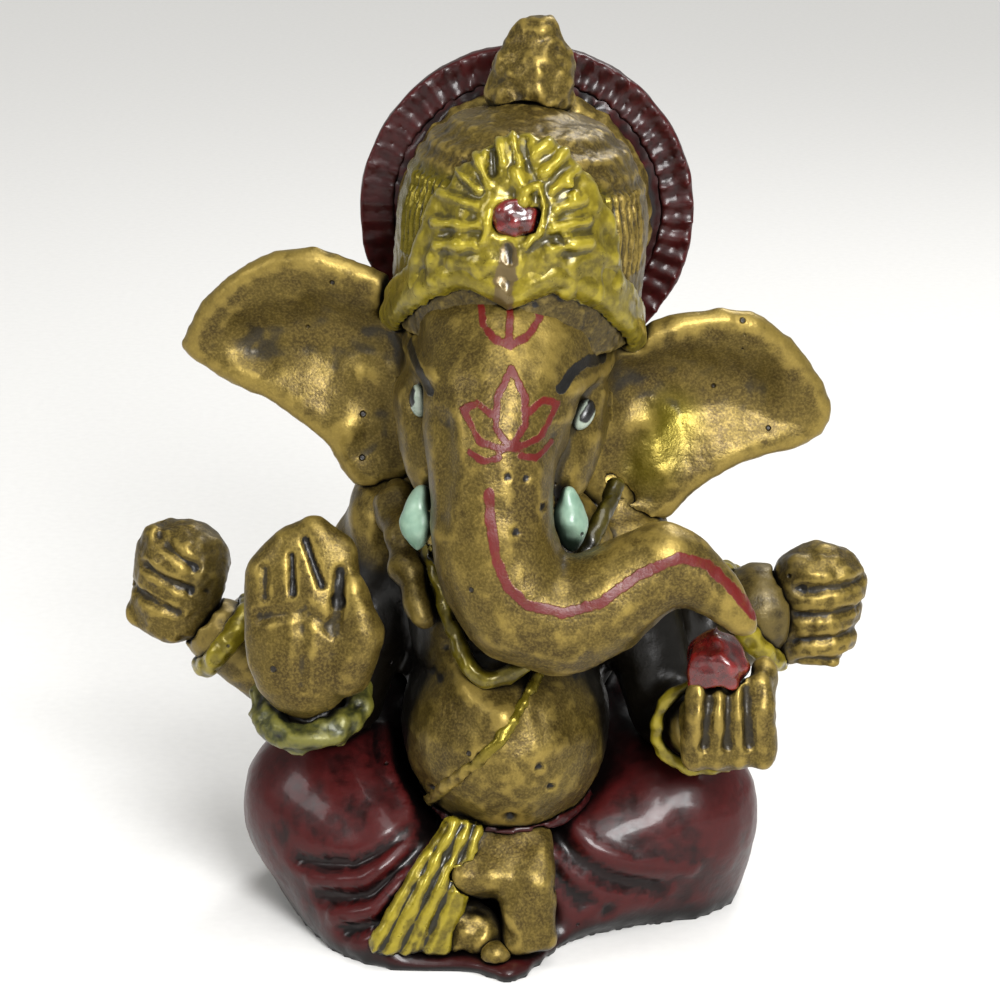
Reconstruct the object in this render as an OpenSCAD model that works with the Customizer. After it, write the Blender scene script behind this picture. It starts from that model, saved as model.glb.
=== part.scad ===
// Seated four-armed elephant-headed figure with crown and halo, a small painted casting.
// Millimetres. +Z is up, the figure faces -Y, and the flat underside lies on z = 0.
// The sculpted pieces are cut back by the ones they sit on, so neighbours meet face to face.

/* [Base] */
// Width of the plinth
base_w = 44; // [38:1:53]
// Depth of the plinth
base_d = 39; // [34:1:48]
// Thickness of the plinth
base_t = 1.4; // [1.1:0.1:1.8]

/* [Legs and robe] */
// Radius of the robe round each knee
knee_r = 8.2; // [6.8:0.1:9.8]
// Distance between the knee centres
knee_gap = 31.4; // [26:0.2:37]
// Radius of the robe round each shin
shin_r = 6.2; // [5.2:0.1:7.5]
// Half width of the hips
hip_w = 16.5; // [14:0.5:19]
// Width of the pleated sash at its hem
sash_w = 7; // [5.8:0.1:8.4]
// Radius of the waistband cord
waistband_r = 0.8; // [0.9:0.05:1.4]

/* [Body] */
// Half width of the belly
belly_w = 9.5; // [9.5:0.1:13.6]
// Half height of the belly
belly_h = 10; // [8:0.1:11.5]
// How far the belly stands in front of its centre
belly_d = 12.6; // [10.5:0.1:15]
// Half width of the chest
chest_w = 11.6; // [9.6:0.1:13.9]
// Half height of the chest
chest_h = 13.5; // [11.2:0.1:16.2]
// Half depth of the chest
chest_d = 9.6; // [8:0.1:11.5]
// Radius of the sacred thread
thread_r = 0.75; // [0.6:0.05:0.9]
// Radius of the necklace strands
necklace_r = 1.15; // [0.95:0.05:1.4]

/* [Head] */
// Half width of the skull
head_w = 9.6; // [8:0.1:11.5]
// Half depth of the skull
head_d = 11.2; // [9.4:0.1:13.4]
// Half height of the skull
head_h = 10.8; // [9:0.1:13]
// Lean of the head towards the figure's left, in degrees
head_lean = 5; // [0:1:8]
// Radius of the eyes
eye_r = 1.9; // [1.6:0.1:2.3]
// Length of each tusk
tusk_l = 5.8; // [5.4:0.1:7.6]
// Radius of each tusk at its thickest
tusk_r = 1.5; // [1.35:0.05:1.9]

/* [Trunk] */
// Radius of the trunk below the brow
trunk_root_r = 6.2; // [5.2:0.1:7.4]
// Radius of the trunk at its tip
trunk_tip_r = 1.3; // [1.8:0.05:2.5]

/* [Ears] */
// Reach of each ear from its root
ear_reach = 21.2; // [17.6:0.1:25.5]
// Height of each ear at its root
ear_h = 21; // [17.5:0.5:25]
// Radius of each ear's rolled rim
ear_rim_r = 1.3; // [1.1:0.05:1.6]

/* [Crown] */
// Height of the crown's dome
crown_h = 14.8; // [12.4:0.1:17.7]
// Radius of the rolled brow band
band_r = 1.5; // [1.2:0.1:1.8]
// Height of the knob on top
finial_h = 8.4; // [7:0.1:10.1]
// Radius of the knob
finial_r = 3.7; // [3.1:0.1:4.4]
// Radius of the brow jewel
jewel_r = 1.6; // [1.3:0.1:1.9]

/* [Halo] */
// Radius of the halo
halo_r = 15.2; // [12.7:0.1:18.2]
// Thickness of the halo's disc
halo_t = 1.8; // [1.5:0.1:2.2]
// Width of the rayed rim
rim_w = 3.2; // [2.7:0.1:3.8]
// Number of rays round the rim
ray_count = 52; // [42:2:62]

/* [Arms] */
// Radius of the upper arms
arm_r = 3.9; // [3.3:0.1:4.6]
// Radius of the wrists
wrist_r = 2.9; // [2.4:0.1:3.4]
// Radius of a bangle's cord
bangle_r = 1.15; // [0.95:0.05:1.4]
// Half width of the clenched hands
fist_w = 4.6; // [3.8:0.1:5.5]
// Half height of the clenched hands
fist_h = 6.1; // [5.1:0.1:7.3]
// Half width of the raised palm
palm_w = 5.3; // [4.4:0.1:6.4]
// Half height of the raised palm
palm_h = 8.7; // [7.3:0.1:10.4]
// Radius of the sweet in the hand
sweet_r = 2.9; // [2.4:0.1:3.4]

/* [Hidden] */

gold = "#8f7638";
glaze = "#8f8a1c";
maroon = "#4c1c1f";
red_paint = "#8c1f1a";
aqua = "#9cc7b4";
jade = "#8c9a5a";

ball_fn = 12;      // facets round a sculpted ball
small_fn = 14;     // facets round a small ball

// Places, from the ground up. The figure's right is -X.
knee_z = base_t + knee_r - 0.6;
right_knee = [-knee_gap / 2, -5.5, knee_z + 1];
left_knee = [knee_gap / 2 + 0.4, -5, knee_z + 0.3];
right_hip = [-hip_w / 2, 5, knee_z];
left_hip = [hip_w / 2, 5, knee_z];
shin_z = base_t + shin_r - 0.4;
seat_c = [0, 3, base_t + 6];
belly_c = [0.5, -8.2, base_t + 2 * knee_r + 1.4];
chest_c = [0.6, 1, belly_c[2] + chest_h - 5.2];
neck_c = [0.6, -1.5, chest_c[2] + chest_h + 0.4];
shoulder_z = chest_c[2] + chest_h / 2;
right_shoulder = [chest_c[0] - chest_w + 1.4, -1.5, shoulder_z + 1.6];
left_shoulder = [chest_c[0] + chest_w - 0.8, -1.5, shoulder_z - 1.2];
head_c = [-0.4, -4.6, neck_c[2] + head_h + 0.4];
crown_z = 7.2;     // of the brow band's plane above the head's centre
cap_r = head_w + 1.4;

// A ball with three radii.
module ball(p, r, fn = ball_fn) {
    translate(p) scale(is_list(r) ? r : [r, r, r]) sphere(r = 1, $fn = fn);
}

// A tapering limb through a list of [place, radius].
module limb(points, fn = ball_fn) {
    for (i = [0 : len(points) - 2])
        hull() {
            ball(points[i][0], points[i][1], fn);
            ball(points[i + 1][0], points[i + 1][1], fn);
        }
}

// A ring whose axis runs from a towards b, with its middle at a.
module ring(a, b, ring_r, cord_r, fn = 20) {
    d = b - a;
    translate(a) rotate([0, acos(d[2] / norm(d)), atan2(d[1], d[0])])
        rotate_extrude($fn = fn) translate([ring_r, 0]) circle(cord_r, $fn = 8);
}

// Points of a smooth curve through p, with n steps between neighbours.
function curve_point(a, b, c, d, t) =
    0.5 * (2 * b + (c - a) * t + (2 * a - 5 * b + 4 * c - d) * t * t
    + (3 * b - a - 3 * c + d) * t * t * t);
function curve(p, n) = [
    for (i = [0 : len(p) - 2], k = [0 : n - 1])
        curve_point(p[max(i - 1, 0)], p[i], p[i + 1], p[min(i + 2, len(p) - 1)], k / n),
    p[len(p) - 1]
];

// The head, its crown, ears and halo lean together about the neck.
module head_frame() {
    translate(neck_c) rotate([0, head_lean, 0]) translate(-neck_c) children();
}
function lean(p) = let (d = p - neck_c) neck_c + [
    d[0] * cos(head_lean) + d[2] * sin(head_lean), d[1],
    d[2] * cos(head_lean) - d[0] * sin(head_lean)
];

// ---- Base, robe and feet ----

plinth_outline = [
    [-0.48, 0.06], [-0.46, -0.14], [-0.42, -0.26], [-0.37, -0.38], [-0.3, -0.48],
    [-0.23, -0.53], [-0.13, -0.55], [-0.05, -0.55], [0.02, -0.61], [0.08, -0.52],
    [0.13, -0.4], [0.2, -0.32], [0.3, -0.28], [0.43, -0.24], [0.51, -0.14],
    [0.52, 0.06], [0.45, 0.24], [0.27, 0.36], [0, 0.39], [-0.26, 0.36], [-0.42, 0.24]
];

module plinth() {
    edge = 0.8;
    color(maroon) linear_extrude(base_t)
        offset(r = edge, $fn = 32) offset(delta = -edge)
        polygon([for (p = plinth_outline) [p[0] * base_w, p[1] * base_d]]);
}

module above_plinth() {
    far = 200;
    intersection() {
        children();
        translate([-far / 2, -far / 2, base_t]) cube(far);
    }
}

// The robe falls from two balls to the plinth's edge, along some of its corners.
module skirt_shape(inner, corners) {
    hull() {
        children();
        translate([0, 0, base_t]) linear_extrude(0.9)
            polygon([[inner, 0], for (k = corners)
                [plinth_outline[k][0] * base_w, plinth_outline[k][1] * base_d]]);
    }
}

module right_leg_shape() {
    limb([[right_hip, knee_r], [right_knee, knee_r], [[-9.6, -12, shin_z], shin_r],
        [[-4.4, -12.6, shin_z - 0.6], shin_r * 0.86]]);
    skirt_shape(-6.3, [0, 1, 2, 3, 4, 5]) {
        ball(right_knee, knee_r, 14);
        ball([-9.6, -12, shin_z], shin_r);
    }
    skirt_shape(-7.1, [19, 20, 0]) {
        ball(right_knee, knee_r, 14);
        ball(right_hip, knee_r);
    }
}

module left_leg_shape() {
    limb([[left_hip, knee_r], [left_knee, knee_r * 0.97], [[9.8, -8.6, shin_z - 0.2], shin_r],
        [[5, -10.4, shin_z - 0.6], shin_r * 0.86]]);
    skirt_shape(6.5, [10, 11, 12, 13, 14, 15]) {
        ball(left_knee, knee_r * 0.955, 14);
        ball([9.9, -8.7, shin_z - 0.15], shin_r);
    }
    skirt_shape(7.4, [15, 16, 17]) {
        ball(left_knee, knee_r * 0.955, 14);
        ball(left_hip, knee_r);
    }
}

module seat_shape() {
    ball(seat_c, [hip_w, 11.8, knee_r + 2], 22);
    ball(seat_c + [0, 1.2, 7.2], [hip_w - 2.6, 9.2, 10.6], 20);
}

module robe_seat() {
    color(maroon) above_plinth() difference() {
        seat_shape();
        torso_shape();
        right_leg_shape();
        left_leg_shape();
        belly_shape();
    }
}

module robe_right_leg() {
    color(maroon) above_plinth() difference() {
        right_leg_shape();
        torso_shape();
        belly_shape();
    }
}

module robe_left_leg() {
    color(maroon) above_plinth() difference() {
        left_leg_shape();
        torso_shape();
        belly_shape();
        right_leg_shape();
    }
}

sash_top = [-3.4, -17.6, belly_c[2] - belly_h + 3.2];
sash_hem = [-7.8, -19.7, base_t + 1];

module sash_shape() {
    pleats = 4;
    for (i = [0 : pleats - 1]) {
        s = (i + 0.5) / pleats - 0.5;
        limb([[sash_top + [s * 2.4, 0, 0], 1.1],
            [(sash_top + sash_hem) / 2 + [s * sash_w * 0.7, -0.6, 0], 1.3],
            [sash_hem + [s * sash_w, 0.8 * s, 0], 1.4]], 10);
    }
}

module sash_pleats() {
    color(glaze) above_plinth() difference() {
        sash_shape();
        right_leg_shape();
        upper_foot_shape();
        lower_foot_shape();
        belly_shape();
    }
}

// The band follows the underside of the belly.
module waistband_shape() {
    steps = 10;
    limb([for (k = [0 : steps])
        let (turn = -75 + 150 * k / steps)
        [on_belly(turn, -36 - 10 * cos(turn)), waistband_r]], 10);
}

module waistband() {
    color(maroon) difference() {
        waistband_shape();
        torso_shape();
        belly_shape();
        right_leg_shape();
        left_leg_shape();
        seat_shape();
        sash_shape();
        upper_foot_shape();
    }
}

foot_top = [0.2, -16.4, belly_c[2] - belly_h + 0.2];

module upper_foot_shape() {
    back = foot_top + [0.2, 3, -2.6];
    hull() {
        for (x = [-2.9, 3.1]) {
            ball(foot_top + [x, 0.2, 1.5], 1.4, 10);
            ball(foot_top + [x * 1.1, -2.7, -1.2], 1.4, 10);
        }
        ball(back, 3.4);
    }
    hull() {
        for (x = [1, 3.4]) {
            ball(foot_top + [x, -2.7, -1.2], 1.4, 10);
            ball([foot_top[0] + x + 0.2, foot_top[1] - 4.2 + x * 0.3, base_t + 1.4], 1.3, 10);
        }
        ball(back + [1, 0, -2], 2.4);
    }
}

module upper_foot() {
    color(gold) above_plinth() difference() {
        upper_foot_shape();
        right_leg_shape();
        left_leg_shape();
        belly_shape();
    }
}

module lower_foot_shape() {
    limb([[[-4.4, -17.4, base_t + 1.2], 2.2], [[-2.8, -18, base_t + 1.4], [2.9, 2.5, 2.7]],
        [[-1.4, -18.8, base_t + 0.8], 2]]);
}

module lower_foot() {
    color(gold) above_plinth() difference() {
        lower_foot_shape();
        right_leg_shape();
        left_leg_shape();
        upper_foot_shape();
    }
}

module toe_shape() {
    ball([-0.4, -20.9, base_t + 0.5], [1.4, 1.4, 1.2], small_fn);
}

module toe() {
    color(gold) above_plinth() difference() {
        toe_shape();
        upper_foot_shape();
        lower_foot_shape();
    }
}

// ---- Torso, belly and what is worn on them ----

module torso_shape() {
    ball(chest_c, [chest_w, chest_d, chest_h], 18);
    limb([[chest_c, chest_d * 0.8], [neck_c, 7]]);
    limb([[right_shoulder, arm_r + 0.6], [chest_c + [0, 0, 5], 7], [left_shoulder, arm_r + 0.6]]);
    limb([[right_shoulder + [-0.4, 1.6, 1], arm_r], [neck_c + [-8.4, 1.5, -1.6], 3.2]]);
    limb([[left_shoulder + [0.4, 1.6, 1], arm_r], [neck_c + [8.8, 1.5, -2.6], 3.2]]);
    hull() {    // the breast, which the back of the trunk lies against
        for (x = [-3.4, 4.4]) {
            ball([x, -7.5, shoulder_z + 1], 5.8);
            ball([x * 0.8, -9.5, shoulder_z - 6.5], 5.4);
        }
        ball([0.4, -10.8, shoulder_z - 2], 5.6);
    }
}

module torso() {
    color(gold) above_plinth() difference() {
        torso_shape();
        head_frame() skull_shape();
        for (n = [0 : 3]) arm_shape(n);
    }
}

module belly_shape() {
    ball(belly_c, [belly_w, belly_d, belly_h], 24);
    limb([[belly_c + [0, 4, 6], 7.5], [chest_c + [0, -2, 2], 7]]);
}

module belly() {
    color(gold) difference() {
        belly_shape();
        torso_shape();
        for (n = [0 : 3]) arm_shape(n);
    }
}

// A point on the belly's skin, from its longitude and latitude.
function on_belly(turn, rise) = belly_c + [
    belly_w * sin(turn) * cos(rise), -belly_d * cos(turn) * cos(rise), belly_h * sin(rise)
];

module thread_shape() {
    limb([for (p = curve([on_belly(26, 52) + [0.6, -0.5, 1], on_belly(20, 42), on_belly(-4, 14),
        on_belly(-34, -14), on_belly(-58, -34)], 3)) [p, thread_r]], 8);
}

module sacred_thread() {
    color(gold) difference() {
        thread_shape();
        torso_shape();
        belly_shape();
        for (n = [0 : 3]) arm_shape(n);
        trunk_shape();
        right_leg_shape();
        seat_shape();
        necklace_shape();
    }
}

module necklace_shape() {
    limb([for (p = curve([[-7, -9, neck_c[2] - 2.6], [-5.8, -12, neck_c[2] - 5.6],
        [-4.8, -14, neck_c[2] - 9], [-3.6, -16, neck_c[2] - 12.4], [-1.4, -17.8, neck_c[2] - 15],
        [3, -17, neck_c[2] - 13], [7.2, -14, neck_c[2] - 5.4], [8.8, -12, neck_c[2] - 2.2],
        [10.2, -8.6, neck_c[2] - 0.2]], 2))
        [p, necklace_r]], 10);
}

module necklace() {
    color(glaze) difference() {
        necklace_shape();
        torso_shape();
        belly_shape();
        head_frame() skull_shape();
        trunk_shape();
        tusk_shape(-1);
        tusk_shape(1);
        for (n = [0 : 3]) arm_shape(n);
    }
}

module lock_shape() {
    limb([[right_shoulder + [0.2, -3.6, 3], 1.9], [[-8.3, -11.6, shoulder_z + 0.6], 1.6],
        [[-6.6, -14.4, shoulder_z - 3.2], 1.4]], 12);
}

module shoulder_lock() {
    color(gold) difference() {
        lock_shape();
        torso_shape();
        belly_shape();
        trunk_shape();
        necklace_shape();
        thread_shape();
        for (n = [0 : 3]) arm_shape(n);
    }
}

// ---- Head ----

module skull_shape() {
    ball(head_c, [head_w, head_d, head_h], 22);
    for (side = [-1, 1])
        limb([[head_c + [side * 5.4, -4, -3.4], 4.6], [head_c + [side * 4.7, -7.4, -8.6], 3.6]]);
}

module head() {
    color(gold) difference() {
        head_frame() skull_shape();
        head_frame() {
            cap_shape();
            band_shape();
        }
        halo_shape();
        tusk_shape(-1);
        tusk_shape(1);
    }
}

// The trunk hangs from the brow, turns to the figure's left and reaches the sweet.
trunk_line = [
    lean(head_c + [-0.2, -5, 1]), lean(head_c + [-0.4, -9.6, -1.6]),
    [-0.5, head_c[1] - 13.4, head_c[2] - 6.2], [-0.6, head_c[1] - 14.8, head_c[2] - 11],
    [-0.2, head_c[1] - 15.6, head_c[2] - 15], [1.6, head_c[1] - 16.2, head_c[2] - 18.2],
    [5, head_c[1] - 16.4, head_c[2] - 19.4], [8.8, head_c[1] - 16.4, head_c[2] - 18],
    [12.4, head_c[1] - 16.2, head_c[2] - 15.4], [15.6, head_c[1] - 16.3, head_c[2] - 14.9],
    [18.5, head_c[1] - 16.8, head_c[2] - 17], [20.8, head_c[1] - 17.2, head_c[2] - 19.6]
];
trunk_taper = [1.36, 1.14, 0.95, 0.9, 0.88, 0.86, 0.82, 0.75, 0.63, 0.51, 0.36, 0];

function trunk_r(i) = max(trunk_root_r * trunk_taper[i], trunk_tip_r);

module trunk_shape() {
    limb([for (i = [0 : len(trunk_line) - 1]) [trunk_line[i], trunk_r(i)]], 14);
}

module trunk() {
    color(gold) difference() {
        trunk_shape();
        head_frame() {
            skull_shape();
            band_shape();
        }
        belly_shape();
        torso_shape();
        tusk_shape(-1);
        tusk_shape(1);
        sweet_shape();
    }
}

// Each ear's corners, from its upper root out to the tip and back: reach as a share of ear_reach,
// height as a share of ear_h. A smooth curve joins them.
right_corners = [
    [0.04, 0.31], [0.44, 0.47], [0.74, 0.36], [0.95, 0.06], [0.62, -0.1], [0.34, -0.3],
    [0.22, -0.48], [0, -0.42]
];
left_corners = [
    [0.02, 0.23], [0.32, 0.4], [0.62, 0.41], [0.84, 0.23], [0.95, 0.05], [0.88, -0.06],
    [0.58, -0.16], [0.38, -0.34], [0.27, -0.46], [0, -0.36]
];

// A thick plate with a rolled rim, dished on its front and curving back to its tip.
module ear_shape(corners) {
    outline = curve(corners, 2);
    n = len(outline);
    rim = [for (p = outline)
        [p[0] * ear_reach, 3.4 * pow(p[0], 2) + 0.4 - 1.6 * max(0, p[1]), p[1] * ear_h]];
    middle = [0.3 * ear_reach, 2.8, 0.02 * ear_h];
    for (i = [0 : n - 1])
        hull() {
            ball(rim[i], ear_rim_r, 10);
            ball(rim[(i + 1) % n], ear_rim_r, 10);
            ball(middle, ear_rim_r * 0.8, 10);
        }
}

module right_ear_shape() {
    translate(head_c + [-head_w + 2, 2, -3.2]) rotate([0, -4, 0]) mirror([1, 0, 0])
        ear_shape(right_corners);
}

module left_ear_shape() {
    translate(head_c + [head_w - 1, 2, -5.2]) rotate([0, 1, 0]) ear_shape(left_corners);
}

module right_ear() {
    color(gold) difference() {
        head_frame() right_ear_shape();
        head_frame() {
            skull_shape();
            cap_shape();
            band_shape();
        }
        halo_shape();
        torso_shape();
    }
}

module left_ear() {
    color(gold) difference() {
        head_frame() left_ear_shape();
        head_frame() {
            skull_shape();
            cap_shape();
            band_shape();
        }
        halo_shape();
        torso_shape();
    }
}

module tusk_shape(side) {
    p = head_c + [side * 6.5 - 0.1, -11.8, -12];
    translate(p) rotate([-12, side * -6, 0]) scale([1, 1.1, tusk_l / 2 / tusk_r])
        sphere(tusk_r, $fn = small_fn);
}

module right_tusk() {
    color(aqua) tusk_shape(-1);
}

module left_tusk() {
    color(aqua) tusk_shape(1);
}

module eye_shape(side) {
    ball(lean(head_c + [side * 7.2, -9, -2.8]), [eye_r * 0.8, eye_r * 0.9, eye_r], small_fn);
}

module eye(side) {
    color(aqua) difference() {
        eye_shape(side);
        head_frame() skull_shape();
        trunk_shape();
    }
}

// ---- Crown and halo ----

module cap_shape() {
    translate(head_c + [0.4, 0.6, crown_z]) scale([1, (head_d + 0.6) / cap_r, 1])
        rotate_extrude($fn = 36) polygon([
            [0, -5.4], [cap_r - 0.6, -5.4], [cap_r, -1], [cap_r, crown_h * 0.36],
            [cap_r * 0.94, crown_h * 0.56], [cap_r * 0.8, crown_h * 0.76],
            [cap_r * 0.56, crown_h * 0.9], [0, crown_h]
        ]);
}

module crown_cap() {
    color(gold) difference() {
        head_frame() cap_shape();
        halo_shape();
    }
}

// A rolled brim round the back of the cap, against the halo.
module rim_shape() {
    steps = 12;
    limb([for (k = [0 : steps])
        let (a = -8 + 196 * k / steps)
        [lean(head_c + [0.8 + (cap_r - 0.8) * cos(a), head_d - 1.4,
            crown_z + crown_h * 0.2 + crown_h * 0.7 * sin(a)]), 1.35]], 10);
}

module crown_rim() {
    color(gold) difference() {
        rim_shape();
        head_frame() cap_shape();
        halo_shape();
    }
}

// Two scallops that meet in a point over the trunk.
module band_shape() {
    steps = 8;
    for (row = [0, 1])
        limb([for (k = [-steps : steps])
            let (a = 96 * k / steps, scallop = abs(sin(a * 1.9)))
            [head_c + [0.4 + (cap_r - 0.5 - 0.3 * row) * sin(a),
                0.6 - (head_d + 0.8 - 0.4 * row) * cos(a),
                crown_z + 2.2 + 1.5 * scallop - 7.6 * pow(sin(a), 2) + 2 * row], band_r]], 8);
}

module crown_band() {
    color(glaze) difference() {
        head_frame() band_shape();
        head_frame() cap_shape();
        halo_shape();
    }
}

module plate_shape() {
    half = 4;
    rows = 2;
    foot = 2.4;    // it stands this far up, on the band
    for (k = [-half : half]) {
        share = k / half;
        tall = crown_h * 0.84 * (1 - 0.44 * pow(abs(share), 2));
        limb([for (j = [0 : rows])
            let (z = foot + (tall - foot) * j / rows, slim = 1 - 0.36 * pow(z / crown_h, 2.4),
                a = (50 * share - 3) * (1 - 0.16 * j / rows))
            [head_c + [0.4 + (cap_r - 0.6) * slim * sin(a), 0.2 - (head_d + 0.2) * slim * cos(a),
                crown_z + z - 2.4 * pow(share, 2) * (1 - j / rows)], 2 - 0.5 * j / rows]], 8);
    }
}

module crown_plate() {
    color(glaze) difference() {
        head_frame() plate_shape();
        head_frame() {
            cap_shape();
            band_shape();
            jewel_shape();
        }
    }
}

module jewel_shape() {
    ball(head_c + [-0.6, -head_d - 0.2, crown_z + crown_h * 0.46],
        [jewel_r * 1.3, jewel_r, jewel_r], small_fn);
}

module crown_jewel() {
    color(red_paint) difference() {
        head_frame() jewel_shape();
        head_frame() cap_shape();
    }
}

module finial_shape() {
    translate(head_c + [0.2, 3.6, crown_z + crown_h - 1.2]) rotate_extrude($fn = 24) polygon([
        [0, 0], [finial_r * 0.92, 0], [finial_r * 1.05, finial_h * 0.16], [finial_r, finial_h * 0.42],
        [finial_r * 0.84, finial_h * 0.62], [finial_r * 0.56, finial_h * 0.8],
        [finial_r * 0.42, finial_h * 0.94], [0, finial_h]
    ]);
}

module crown_finial() {
    color(gold) difference() {
        head_frame() finial_shape();
        head_frame() cap_shape();
        halo_shape();
    }
}

halo_c = lean(head_c + [1, head_d + 0.4, crown_z + 2.8]);

module halo_disc_shape() {
    translate(halo_c) rotate([-90, 0, 0]) cylinder(h = halo_t, r = halo_r - rim_w, $fn = 64);
}

// The rim is a ring whose front face rises and falls with the rays.
module halo_rim_shape() {
    relief = 0.5;
    section = [[halo_r - rim_w, 0], [halo_r - rim_w / 2, 0.4], [halo_r, 0.1],
        [halo_r, halo_t], [halo_r - rim_w, halo_t]];
    n = len(section);
    steps = ray_count * 2;
    points = [for (k = [0 : steps - 1], j = [0 : n - 1])
        let (a = 360 * k / steps, lift = j < 3 ? relief * (k % 2) : 0)
        halo_c + [section[j][0] * cos(a), section[j][1] - lift, section[j][0] * sin(a)]];
    faces = [for (k = [0 : steps - 1], j = [0 : n - 1])
        let (a = k * n, b = ((k + 1) % steps) * n, next = (j + 1) % n)
        [a + next, a + j, b + j, b + next]];
    polyhedron(points, faces, convexity = 4);
}

module halo_shape() {
    translate(halo_c) rotate([-90, 0, 0]) cylinder(h = halo_t, r = halo_r, $fn = 64);
}

module halo_disc() {
    color(maroon) halo_disc_shape();
}

module halo_rim() {
    color(maroon) halo_rim_shape();
}

// ---- Arms: 0 right rear, 1 right front, 2 left rear, 3 left front ----

right_rear_fist = [-29.8, 1.6, shoulder_z - 5.4];
right_palm = [-17, -16.8, shoulder_z - 2.6];
left_rear_fist = [29.5, 1.6, shoulder_z - 7.7];
left_front_fist = [19.7, -17.6, shoulder_z - 11.2];

shoulders = [right_shoulder + [0, 2, 0], right_shoulder + [0.6, -0.6, -1],
    left_shoulder + [0, 2, 0], left_shoulder + [-0.4, -0.6, -1]];
elbows = [[-20.4, 2, shoulder_z - 14.6], [-14.6, -4.4, shoulder_z - 15.6],
    [19, 2.6, shoulder_z - 12], [15.5, -5.3, shoulder_z - 15.7]];
right_wrist = right_palm + [0.4, 1.6, 0.2 - palm_h];
wrists = [right_rear_fist + [3.4, 0.4, -4.6], right_wrist,
    left_rear_fist + [-5.4, 0.2, -0.4], left_front_fist + [-1.6, 4, -2.4]];
wrist_grow = [0.3, 0, 1.6, 0.5];

module arm_shape(n) {
    limb([[shoulders[n], arm_r], [elbows[n], arm_r * 0.92], [wrists[n], wrist_r + wrist_grow[n]]]);
}

// The forearm alone, for cutting the bangle that is round it.
module arm_core(n) {
    limb([[elbows[n], arm_r * 0.92], [wrists[n], wrist_r + wrist_grow[n]]]);
}

module bangle_shape(n) {
    inward = elbows[n] - wrists[n];
    if (n == 1) ring(right_wrist, right_wrist + [0.4, 2, -4], wrist_r + 1.2, bangle_r * 1.2);
    else if (n == 3) ring(wrists[3] + [0, -0.6, 0], wrists[3] + [0, 3, 0.4], wrist_r + 1.4, 0.7);
    else ring(wrists[n] + inward * 0.16, elbows[n], wrist_r + wrist_grow[n] + 0.3, bangle_r);
}

module arm(n) {
    color(gold) difference() {
        arm_shape(n);
        for (k = [0 : 3]) if (k < n) arm_shape(k);
        hand_shape(n);
        right_leg_shape();
        left_leg_shape();
        seat_shape();
    }
}

module bangle(n) {
    color(n == 1 ? jade : glaze) difference() {
        bangle_shape(n);
        hand_shape(n);
        arm_core(n);
        right_leg_shape();
        left_leg_shape();
    }
}

// A clenched hand: a rounded block, with four curled fingers a little raised on its front.
module fist_shape(c, turn) {
    fingers = 4;
    pitch = fist_h * 1.7 / fingers;
    translate(c) rotate(turn) {
        hull() {
            ball([0, 0.6, fist_h * 0.4], [fist_w, fist_w * 0.88, fist_h * 0.56], 14);
            ball([0, 0.6, -fist_h * 0.42], [fist_w * 0.9, fist_w * 0.8, fist_h * 0.54], 14);
        }
        for (i = [0 : fingers - 1]) {
            z = (i - (fingers - 1) / 2) * pitch;
            limb([[[-fist_w * 0.6, -fist_w * 0.1, z], pitch * 0.56],
                [[fist_w * 0.2, -fist_w * 0.4, z - 0.3], pitch * 0.5]], 8);
        }
    }
}

// A flat hand with its fingers together.
module palm_shape() {
    translate(right_palm) rotate([-8, 0, -6]) hull() {
        ball([0, 0, -1.6], [palm_w, 3, palm_h - 1.4], 18);
        for (i = [0 : 3])
            ball([(i - 1.6) * palm_w * 0.42, 0, [0.46, 0.74, 0.86, 0.68][i] * palm_h], 1.7, 10);
    }
}

module thumb_shape() {
    translate(right_palm) rotate([-8, 0, -6])
        limb([[[palm_w * 0.7, -0.4, -palm_h * 0.5], 2.4], [[palm_w, -1, -palm_h * 0.12], 2],
            [[palm_w * 0.8, -1.2, palm_h * 0.36], 1.4]], 12);
}

module cupped_shape() {
    translate(left_front_fist) rotate([0, 0, 4]) {
        ball([0, 0.6, -0.9], [fist_w * 0.9, fist_w * 0.84, fist_h * 0.72], 18);
        for (i = [0 : 3]) {
            x = (i - 1.5) * fist_w * 0.42;
            limb([[[x, -2.2, -fist_h * 0.46], 1.5], [[x * 0.98, -2.5, fist_h * 0.1], 1.35],
                [[x * 0.94, -1.7, fist_h * 0.58], 1.15]], 8);
        }
        limb([[[fist_w * 0.62, 0.6, -1.8], 1.8], [[fist_w * 0.7, -0.4, 4.2], 1.3]], 8);
    }
}

module hand_shape(n) {
    if (n == 0) fist_shape(right_rear_fist, [0, 13, -14]);
    if (n == 1) palm_shape();
    if (n == 2) fist_shape(left_rear_fist, [0, 4, 14]);
    if (n == 3) cupped_shape();
}

module right_rear_hand() { color(gold) hand_shape(0); }

module right_front_hand() {
    color(gold) difference() {
        palm_shape();
        thumb_shape();
    }
}

module right_thumb() { color(gold) thumb_shape(); }

module left_rear_hand() { color(gold) hand_shape(2); }

module left_front_hand() {
    color(gold) difference() {
        cupped_shape();
        sweet_shape();
    }
}

module sweet_shape() {
    translate(left_front_fist + [-1, -0.8, fist_h * 0.8]) rotate_extrude($fn = 20) polygon([
        [0, -1.6], [sweet_r * 0.8, -1.6], [sweet_r, 0], [sweet_r * 0.86, 1.4],
        [sweet_r * 0.5, 2.6], [sweet_r * 0.22, 3.4], [0, 3.9]
    ]);
}

module sweet() { color(red_paint) sweet_shape(); }

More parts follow.
